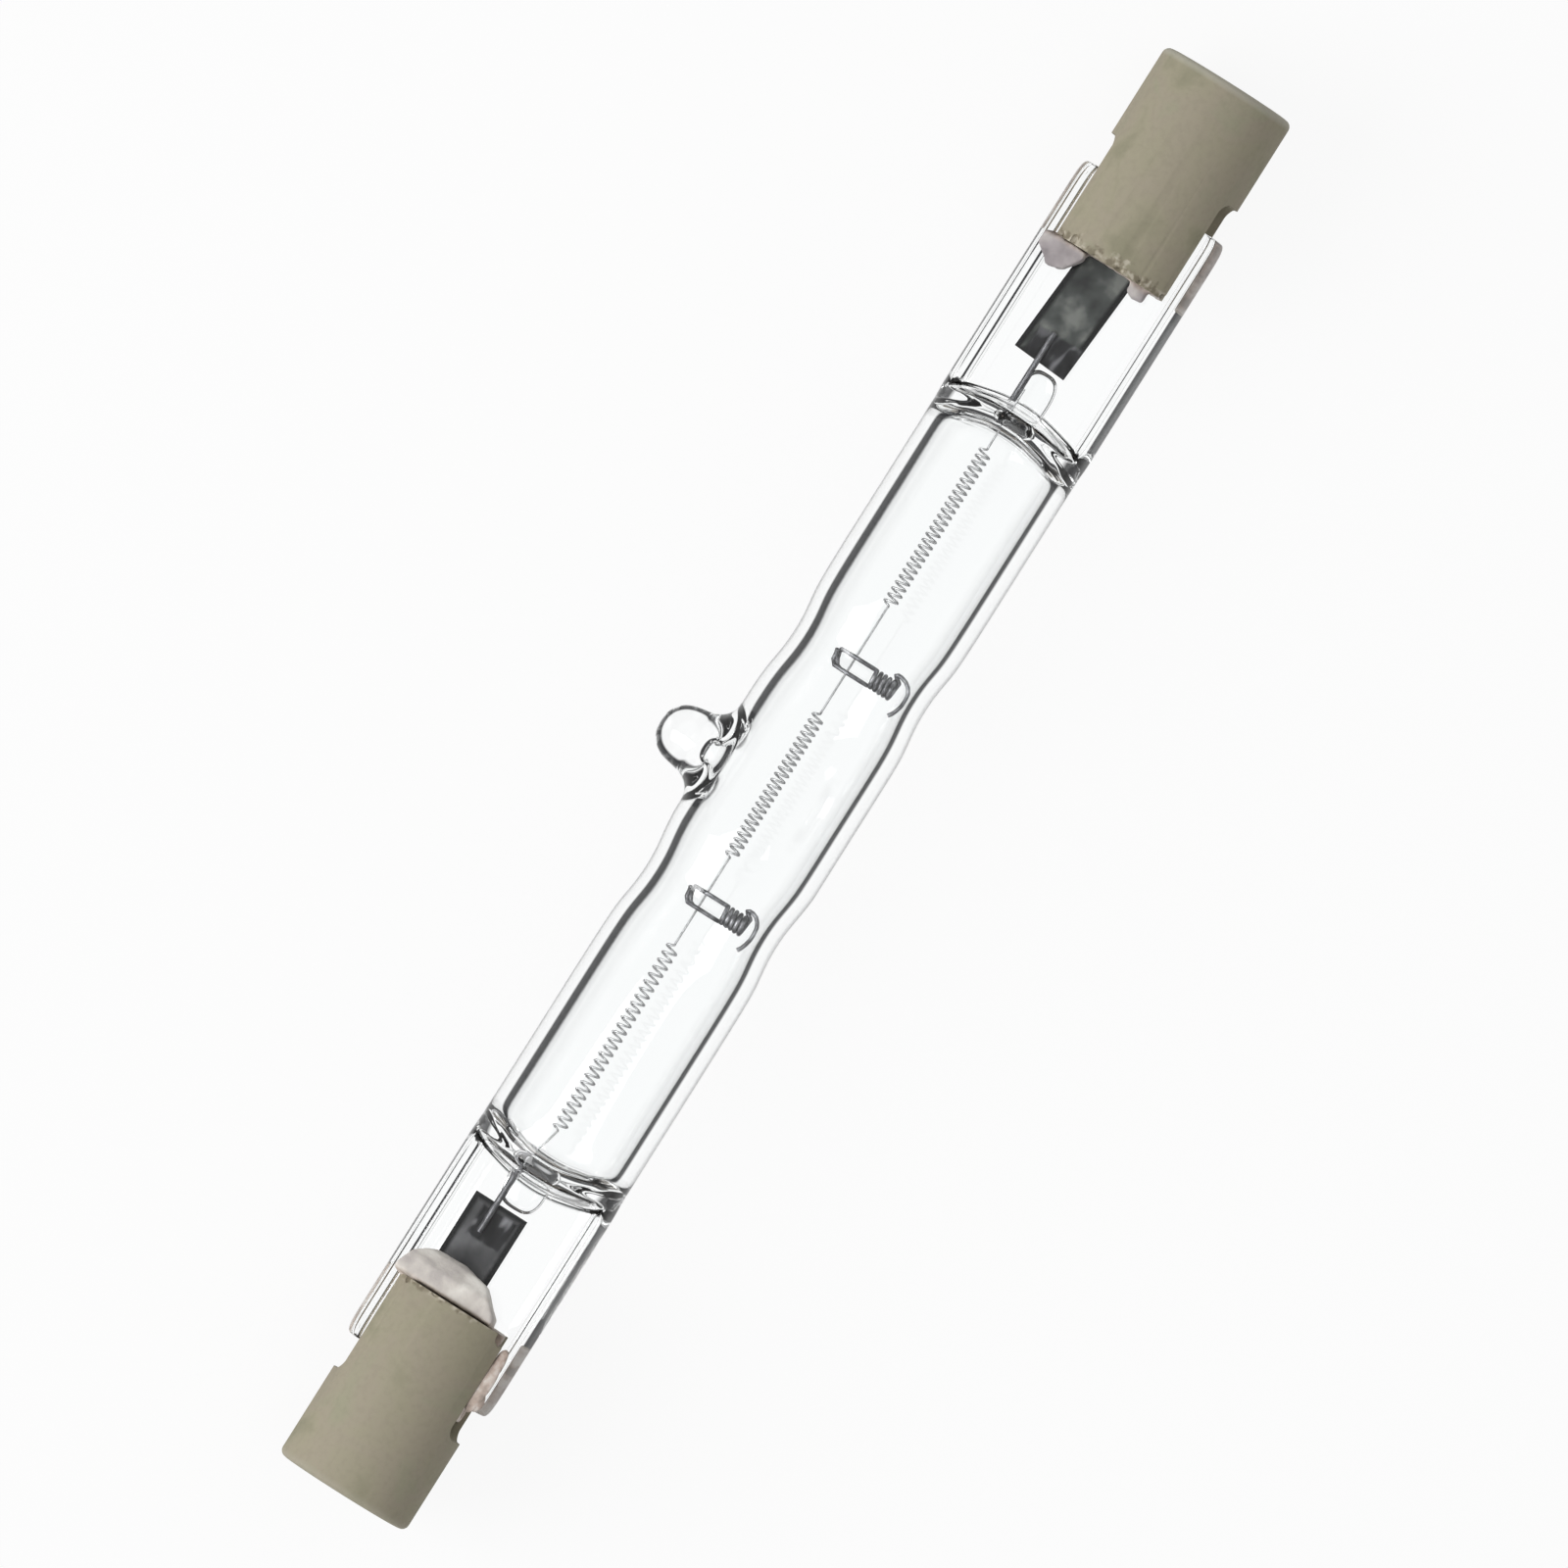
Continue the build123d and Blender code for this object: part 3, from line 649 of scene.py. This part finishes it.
# The wire's route, in mm from the tube's middle and from its axis.
support_place = {"left": -6.557, "right": 6.557}
loop_top = {"left": 1.18, "right": 1.3}
loop_low = -0.66
loop_depth = 0.66
loop_apart = 0.43
post_radius = 0.43
post_turns = 5
post_pitch = 0.24
foot_drop = {"left": 0, "right": 0.16}
turn_steps = 20
for side_name, centre in support_place.items():
    loop_middle = (loop_top[side_name] + loop_low) / 2
    loop_height = (loop_top[side_name] - loop_low) / 2
    # The free end, hooked over the top of the loop.
    points = [(0.32, loop_top[side_name] + 0.1, 0.42), (0.12, loop_top[side_name] + 0.06, 0.3),
              (-0.2, loop_top[side_name] + 0.04, 0.22)]
    # Nearly two turns of the tall loop, the second beside the first.
    for i in range(2, int(1.98 * turn_steps) + 1):
        turn = i / turn_steps
        angle = pi / 2 - 2 * pi * turn
        crossing = ease(min(max((turn - 0.86) / 0.2, 0), 1))
        points.append((-loop_apart + 2 * loop_apart * crossing,
                       loop_middle + loop_height * sin(angle), loop_depth * cos(angle)))
        if turn > 1.5 and sin(angle) < -0.7:
            break
    points.append((loop_apart, loop_low - 0.02, 0.1))
    # The close-wound post under the loop.
    for i in range(post_turns * turn_steps + 1):
        angle = 2 * pi * i / turn_steps
        points.append((post_radius * cos(angle), loop_low - 0.04 - post_pitch * i / turn_steps,
                       post_radius * sin(angle)))
    # The foot, turned up beside the post and curled back along the bore.
    points += [(0.5, -1.84, -0.1), (0.62, -1.66, -0.14), (0.73, -1.56, -0.08), (0.79, -1.66, 0),
               (0.78, -1.85, 0)]
    points += [(x, y - foot_drop[side_name] * share, 0) for x, y, share in (
        (0.7, -2.06, 0.3), (0.52, -2.24, 0.7), (0.26, -2.36, 1), (-0.06, -2.4, 1), (-0.4, -2.39, 1),
        (-0.7, -2.32, 0.9), (-0.96, -2.22, 0.8), (-1.12, -2.12, 0.7))]
    support = sweep_wire("filament_support_wire_" + side_name,
                         [((x + centre) * mm, y * mm, z * mm) for x, y, z in points], support_wire)

    # The same drawn tungsten, darker and patchy where the lamp's heat marked it.
    marked_tungsten, tree = new_material("heat_marked_tungsten_" + side_name)
    place = add_node(tree, "ShaderNodeTexCoord")
    drawn = add_node(tree, "ShaderNodeMapping", {}, {
        "Vector": place.outputs["Object"], "Rotation": (lean, 0, 0), "Scale": in_mm})
    grain = add_node(tree, "ShaderNodeTexNoise", {},
        {"Vector": drawn.outputs[0], "Scale": 1 / 0.4, "Detail": 3})
    tone = add_node(tree, "ShaderNodeValToRGB", {}, {"Fac": grain.outputs["Fac"]}, (
        (0.35, "444446"), (0.52, "747477"), (0.68, "a2a2a5")))
    body = add_node(tree, "ShaderNodeBsdfPrincipled", {}, {
        "Base Color": tone.outputs["Color"], "Metallic": 0.9, "Roughness": 0.48})
    add_node(tree, "ShaderNodeOutputMaterial", {}, {"Surface": body.outputs[0]})
    support.data.materials.append(marked_tungsten)
    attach(support, "root")
    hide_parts("filament_support_" + side_name)


# Ceramic caps: pressed and fired steatite, unglazed. Each is a round slug with a
# slot across its mouth for the pinch, and a round recess in its end for the
# contact. The fired edges are a little soft, and the mouths are chipped.
cap_radius = 3.5 * mm
cap_end = 39.15 * mm
cap_length = 10.3 * mm
cap_mouth = cap_end - cap_length
slot_width = 3.7 * mm
slot_depth = 5.45 * mm
end_rounding = 0.34 * mm
slot_rounding = 0.5 * mm
edge_rounding = 0.05 * mm
recess_floor = 37.45 * mm
recess_radius = 1.8 * mm
pocket_radius = 1.55 * mm
lead_bore_radius = 0.8 * mm
# Chips: place of each flake out from the mouth, its size and its stretch, in mm.
cap_chips = {
    "left": (((28.95, -2.85, 2.05), 0.5, (1.1, 1.0, 1.0)), ((28.9, -3.15, 1.6), 0.42, (1.2, 0.8, 1.0)),
             ((28.86, 2.45, 2.5), 0.2, (1, 1.6, 1)), ((28.85, 0.9, 3.4), 0.12, (1, 2.2, 1))),
    "right": (((28.84, 1.9, 2.95), 0.3, (1, 1.9, 1)), ((28.85, 2.75, 2.2), 0.24, (1, 1.3, 1.2)),
              ((28.84, 0.55, 3.45), 0.2, (1, 1.8, 0.8)), ((28.84, -0.6, 3.42), 0.22, (1.1, 1.5, 0.9)),
              ((28.84, -1.7, 3.05), 0.18, (1, 1.8, 0.8)), ((28.84, -2.9, 1.95), 0.3, (0.9, 1.0, 1.1))),
}


def cut(obj, tool):
    """Takes a tool piece out of a piece, and deletes the tool."""
    bpy.ops.object.select_all(action="DESELECT")
    obj.select_set(True)
    bpy.context.view_layer.objects.active = obj
    bpy.ops.object.modifier_add(type="BOOLEAN")
    obj.modifiers[-1].operation = "DIFFERENCE"
    obj.modifiers[-1].solver = "EXACT"
    obj.modifiers[-1].object = tool
    bpy.ops.object.modifier_apply(modifier=obj.modifiers[-1].name)
    bpy.data.objects.remove(tool)


def drill(obj, side, radius, outer, inner):
    """Drills a piece along X between two distances from its middle."""
    bpy.ops.object.select_all(action="DESELECT")
    bpy.ops.mesh.primitive_cylinder_add(vertices=72, radius=radius, depth=outer - inner,
                                        location=(side * (outer + inner) / 2, 0, 0),
                                        rotation=(0, pi / 2, 0))
    bpy.ops.object.transform_apply(location=True, rotation=True, scale=True)
    cut(obj, bpy.context.object)


for side_name, side in (("left", -1), ("right", 1)):
    bpy.ops.object.select_all(action="DESELECT")
    bpy.ops.mesh.primitive_cylinder_add(vertices=112, radius=cap_radius, depth=cap_length,
                                        location=(side * (cap_mouth + cap_length / 2), 0, 0),
                                        rotation=(0, pi / 2, 0))
    cap = bpy.context.object
    cap.name = "steatite_cap_" + side_name
    bpy.ops.object.transform_apply(location=True, rotation=True, scale=True)
    start_edit(cap)
    pick(cap, lambda p: near(p.x, side * cap_end) and (p.y ** 2 + p.z ** 2) ** 0.5 > cap_radius * 0.9,
         "edges")
    bpy.ops.mesh.bevel(offset=end_rounding, segments=4, profile=0.5)
    bpy.ops.object.mode_set(mode="OBJECT")

    bpy.ops.object.select_all(action="DESELECT")
    bpy.ops.mesh.primitive_cube_add(size=1, location=(side * (cap_mouth + slot_depth / 2 - mm), 0, 0),
                                    scale=(slot_depth + 2 * mm, 3 * cap_radius, slot_width))
    slot_tool = bpy.context.object
    bpy.ops.object.transform_apply(location=True, rotation=True, scale=True)
    start_edit(slot_tool)
    pick(slot_tool, lambda p: near(p.x, side * (cap_mouth + slot_depth))
         and near(abs(p.z), slot_width / 2), "edges")
    bpy.ops.mesh.bevel(offset=slot_rounding, segments=4, profile=0.5)
    bpy.ops.object.mode_set(mode="OBJECT")
    cut(cap, slot_tool)

    # The recess, the contact's pocket in its floor, and the bore for the outer lead.
    drill(cap, side, recess_radius, cap_end + mm, recess_floor)
    drill(cap, side, pocket_radius, recess_floor + 0.1 * mm, recess_floor - 0.7 * mm)
    drill(cap, side, lead_bore_radius, recess_floor - 0.6 * mm, cap_mouth + slot_depth - 0.3 * mm)
    for (x, y, z), size, stretch in cap_chips[side_name]:
        bpy.ops.object.select_all(action="DESELECT")
        bpy.ops.mesh.primitive_ico_sphere_add(subdivisions=2, radius=size * mm,
                                              location=(side * x * mm, y * mm, z * mm))
        flake = bpy.context.object
        flake.scale = stretch
        flake.rotation_euler = (0.9 * y, 0.7 * z, 0.4)
        bpy.ops.object.transform_apply(location=True, rotation=True, scale=True)
        cut(cap, flake)

    bpy.ops.object.modifier_add(type="BEVEL")
    cap.modifiers[-1].width = edge_rounding
    cap.modifiers[-1].segments = 2
    cap.modifiers[-1].limit_method = "ANGLE"
    cap.modifiers[-1].angle_limit = radians(40)
    bpy.ops.object.modifier_apply(modifier=cap.modifiers[-1].name)
    bpy.ops.object.shade_smooth_by_angle(angle=radians(32))
    lay_down(cap)

    # Fired steatite: matt, dry and very finely grained, a warm grey with faint
    # pink and green clouding. It is paler round the end, a painted highlight on the
    # rounded edge, and darker at the mouth, painted shade where it meets the cement,
    # with stains along the rim.
    steatite, tree = new_material("fired_steatite_" + side_name)
    place = add_node(tree, "ShaderNodeTexCoord")
    drawn = add_node(tree, "ShaderNodeMapping", {}, {
        "Vector": place.outputs["Object"], "Rotation": (lean, 0, 0), "Scale": in_mm})
    cloud = add_node(tree, "ShaderNodeTexNoise", {},
        {"Vector": drawn.outputs[0], "Scale": 1 / 3.2, "Detail": 3, "Distortion": 0.5})
    tone = add_node(tree, "ShaderNodeValToRGB", {}, {"Fac": cloud.outputs["Fac"]}, (
        (0.32, "8b8771"), (0.44, "97917c"), (0.56, "98907e"), (0.7, "94917b")))
    fine = add_node(tree, "ShaderNodeTexNoise", {},
        {"Vector": drawn.outputs[0], "Scale": 1 / 0.3, "Detail": 4})
    specks = add_node(tree, "ShaderNodeValToRGB", {}, {"Fac": fine.outputs["Fac"]},
        ((0.3, "efefef"), (0.55, "ffffff")))
    speckled = add_node(tree, "ShaderNodeMix", {"data_type": "RGBA", "blend_type": "MULTIPLY"}, {
        0: 0.5, 6: tone.outputs["Color"], 7: specks.outputs["Color"]})
    parts = add_node(tree, "ShaderNodeSeparateXYZ", {}, {"Vector": drawn.outputs[0]})
    out = add_node(tree, "ShaderNodeMath", {"operation": "ABSOLUTE"}, {0: parts.outputs["X"]})
    # Paler towards the end: a painted highlight where the rounded edge catches the light.
    end_highlight_mask = add_node(tree, "ShaderNodeMapRange", {}, {
        "Value": out.outputs[0], "From Min": 38.7, "From Max": 38.95,
        "To Max": {"left": 0.15, "right": 0.5}[side_name]})
    end_highlighted = add_node(tree, "ShaderNodeMix", {"data_type": "RGBA"}, {
        0: end_highlight_mask.outputs["Result"], 6: speckled.outputs[2], 7: linear("bab8ac")})
    # Darker at the mouth: painted shade in the crease where the cap meets the cement, with brown stains
    # and pale chipped flecks along the rim.
    ragged = add_node(tree, "ShaderNodeTexNoise", {},
        {"Vector": drawn.outputs[0], "Scale": 1 / 0.55, "Detail": 3})
    spread_out = add_node(tree, "ShaderNodeMath", {"operation": "MULTIPLY_ADD"}, {
        0: ragged.outputs["Fac"], 1: {"left": -0.9, "right": -2.4}[side_name], 2: out.outputs[0]})
    shade_and_stain_at_mouth = add_node(tree, "ShaderNodeMapRange", {}, {
        "Value": spread_out.outputs[0], "From Min": {"left": 28.65, "right": 28.15}[side_name],
        "From Max": {"left": 28.45, "right": 27.85}[side_name], "To Max": 0.75})
    flecks = add_node(tree, "ShaderNodeTexNoise", {},
        {"Vector": drawn.outputs[0], "Scale": 1 / 0.4, "Detail": 2})
    shade_and_stain_tone = add_node(tree, "ShaderNodeValToRGB", {}, {"Fac": flecks.outputs["Fac"]}, (
        (0.42, "6b6250"), (0.5, "8d8472"), (0.6, "bfb8a8")))
    shaded_and_stained = add_node(tree, "ShaderNodeMix", {"data_type": "RGBA"}, {
        0: shade_and_stain_at_mouth.outputs["Result"], 6: end_highlighted.outputs[2], 7: shade_and_stain_tone.outputs["Color"]})
    # The real grit is a few hundredths of a millimetre, drawn coarser to show.
    grit = add_node(tree, "ShaderNodeTexNoise", {},
        {"Vector": drawn.outputs[0], "Scale": 1 / 0.12, "Detail": 3})
    bump = add_node(tree, "ShaderNodeBump", {},
        {"Height": grit.outputs["Fac"], "Strength": 0.35, "Distance": 0.012 * mm})
    body = add_node(tree, "ShaderNodeBsdfPrincipled", {}, {
        "Base Color": shaded_and_stained.outputs[2], "Roughness": 0.78, "Normal": bump.outputs["Normal"]})
    add_node(tree, "ShaderNodeOutputMaterial", {}, {"Surface": body.outputs[0]})
    cap.data.materials.append(steatite)
    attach(cap, "root")
    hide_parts("ceramic_cap_" + side_name)


# Contacts: turned metal buttons set in the floor of each recess, with the outer
# lead welded behind. The photograph doesn't show them, so they are plain.
# Nickel plate over turned metal: a warm silver with faint rings from the tool.
contact_metal, tree = new_material("turned_nickel_plate")
place = add_node(tree, "ShaderNodeTexCoord")
drawn = add_node(tree, "ShaderNodeMapping", {}, {
    "Vector": place.outputs["Object"], "Rotation": (lean, 0, 0), "Scale": (0, 1000, 1000)})
# The real tool marks are about 0.05 mm apart, drawn at 0.25 mm to show.
turning = add_node(tree, "ShaderNodeTexWave", {"wave_type": "RINGS", "rings_direction": "SPHERICAL"}, {
    "Vector": drawn.outputs[0], "Scale": 0.314 / 0.25, "Distortion": 0.5, "Detail": 1.0})
tone = add_node(tree, "ShaderNodeValToRGB", {}, {"Fac": turning.outputs["Fac"]},
    ((0.2, "9b978c"), (0.8, "b6b2a8")))
bump = add_node(tree, "ShaderNodeBump", {},
    {"Height": turning.outputs["Fac"], "Strength": 0.25, "Distance": 0.01 * mm})
body = add_node(tree, "ShaderNodeBsdfPrincipled", {}, {
    "Base Color": tone.outputs["Color"], "Metallic": 1.0, "Roughness": 0.32,
    "Normal": bump.outputs["Normal"]})
add_node(tree, "ShaderNodeOutputMaterial", {}, {"Surface": body.outputs[0]})
for side_name in ("left", "right"):
    dress("contact_" + side_name, contact_metal)


# Cement: a mineral paste that was pressed in between the pinch and the cap and
# swelled out of the mouth before it set. Its solid is copied, welded, softened
# by remeshing, and trimmed to stay behind the cap's cheeks.
cement_half = {"left": 2.75 * mm, "right": 2.3 * mm}
cement_high = 1.8 * mm
cement_voxel = 0.11 * mm
cement_swell = {"left": 0.12 * mm, "right": 0.26 * mm}
# Smears left along the pinch's rail below the slot: place and size of each, in mm.
cement_smears = {
    "left": (((-31.3, -3.15, 1.66), (1.5, 0.4, 0.17)), ((-32.1, -3.3, 1.5), (0.55, 0.35, 0.25)),
             ((-30.1, -3.2, 1.62), (0.8, 0.3, 0.16))),
    "right": (),
}
for side_name, side in (("left", -1), ("right", 1)):
    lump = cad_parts["cement_" + side_name].copy()
    lump.data = lump.data.copy()
    lump.name = "set_cement_" + side_name
    bpy.context.collection.objects.link(lump)
    lump.parent = None
    start_edit(lump)
    bpy.ops.mesh.select_all(action="SELECT")
    bpy.ops.mesh.remove_doubles(threshold=0.005 * mm)
    bpy.ops.transform.rotate(value=-lean, orient_axis="X", center_override=(0, 0, 0))
    bpy.ops.object.mode_set(mode="OBJECT")
    lump.data.remesh_voxel_size = cement_voxel
    bpy.ops.object.voxel_remesh()
    start_edit(lump)
    for edge in (-1, 1):
        pick(lump, lambda p: side * p.x > cap_mouth + 0.1 * mm and edge * p.y > cement_half[side_name])
        bpy.ops.transform.resize(value=(1, 0, 1), center_override=(0, edge * cement_half[side_name], 0))
        pick(lump, lambda p: side * p.x > cap_mouth - 0.02 * mm and edge * p.z > cement_high)
        bpy.ops.transform.resize(value=(1, 1, 0), center_override=(0, 0, edge * cement_high))
    bpy.ops.object.mode_set(mode="OBJECT")
    for place, size in cement_smears[side_name]:
        bpy.ops.object.select_all(action="DESELECT")
        bpy.ops.mesh.primitive_ico_sphere_add(subdivisions=4, radius=mm,
                                              location=[v * mm for v in place])
        smear = bpy.context.object
        smear.scale = size
        bpy.ops.object.transform_apply(location=True, rotation=True, scale=True)
        lump.select_set(True)
        bpy.context.view_layer.objects.active = lump
        bpy.ops.object.join()
    bpy.ops.object.modifier_add(type="SMOOTH")
    lump.modifiers[-1].factor = 0.6
    lump.modifiers[-1].iterations = 6
    bpy.ops.object.modifier_apply(modifier=lump.modifiers[-1].name)
    swell = bpy.data.textures.new("cement_swell_" + side_name, "CLOUDS")
    swell.noise_scale = 0.8 * mm
    bpy.ops.object.modifier_add(type="DISPLACE")
    lump.modifiers[-1].texture = swell
    lump.modifiers[-1].strength = cement_swell[side_name]
    lump.modifiers[-1].mid_level = 0.5
    bpy.ops.object.modifier_apply(modifier=lump.modifiers[-1].name)
    bpy.ops.object.shade_smooth()
    lay_down(lump)

    # Set lamp cement: matt and a little grainy, chalky white where it is thin
    # and lilac-grey in its hollows, with a pinkish brown band of painted shade along the cap where the
    # two meet.
    cement_finish, tree = new_material("set_lamp_cement_" + side_name)
    place = add_node(tree, "ShaderNodeTexCoord")
    drawn = add_node(tree, "ShaderNodeMapping", {}, {
        "Vector": place.outputs["Object"], "Rotation": (lean, 0, 0), "Scale": in_mm})
    cloud = add_node(tree, "ShaderNodeTexNoise", {},
        {"Vector": drawn.outputs[0], "Scale": 1 / 1.6, "Detail": 4, "Distortion": 0.3})
    tone = add_node(tree, "ShaderNodeValToRGB", {}, {"Fac": cloud.outputs["Fac"]},
                    {"left": ((0.3, "b3acaa"), (0.48, "d3cdc6"), (0.64, "ebe7e0")),
                     "right": ((0.3, "8f888a"), (0.5, "a59e9f"), (0.68, "bfbab6"))}[side_name])
    parts = add_node(tree, "ShaderNodeSeparateXYZ", {}, {"Vector": drawn.outputs[0]})
    # A pinkish brown band along the cap: painted shade in the crease where the cement meets it.
    crease_shade_noise = add_node(tree, "ShaderNodeTexNoise", {},
        {"Vector": drawn.outputs[0], "Scale": 1 / 0.7, "Detail": 3})
    crease_shade_tone = add_node(tree, "ShaderNodeValToRGB", {}, {"Fac": crease_shade_noise.outputs["Fac"]}, (
        (0.38, "857468"), (0.5, "b8a396"), (0.62, "ddd3cb")))
    out = add_node(tree, "ShaderNodeMath", {"operation": "ABSOLUTE"}, {0: parts.outputs["X"]})
    crease_shade = add_node(tree, "ShaderNodeMapRange", {},
        {"Value": out.outputs[0], "From Min": 28.55, "From Max": 28.9, "To Max": 0.8})
    crease_shaded = add_node(tree, "ShaderNodeMix", {"data_type": "RGBA"}, {
        0: crease_shade.outputs["Result"], 6: tone.outputs["Color"], 7: crease_shade_tone.outputs["Color"]})
    # The real grit is about 0.05 mm, drawn at 0.16 mm to show.
    grit = add_node(tree, "ShaderNodeTexNoise", {},
        {"Vector": drawn.outputs[0], "Scale": 1 / 0.16, "Detail": 4})
    bump = add_node(tree, "ShaderNodeBump", {},
        {"Height": grit.outputs["Fac"], "Strength": 0.5, "Distance": 0.03 * mm})
    body = add_node(tree, "ShaderNodeBsdfPrincipled", {}, {
        "Base Color": crease_shaded.outputs[2], "Roughness": 0.92, "Normal": bump.outputs["Normal"]})
    add_node(tree, "ShaderNodeOutputMaterial", {}, {"Surface": body.outputs[0]})
    lump.data.materials.clear()
    lump.data.materials.append(cement_finish)
    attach(lump, "root")
    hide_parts("cement_" + side_name)


bpy.context.scene.view_settings.view_transform = "Standard"
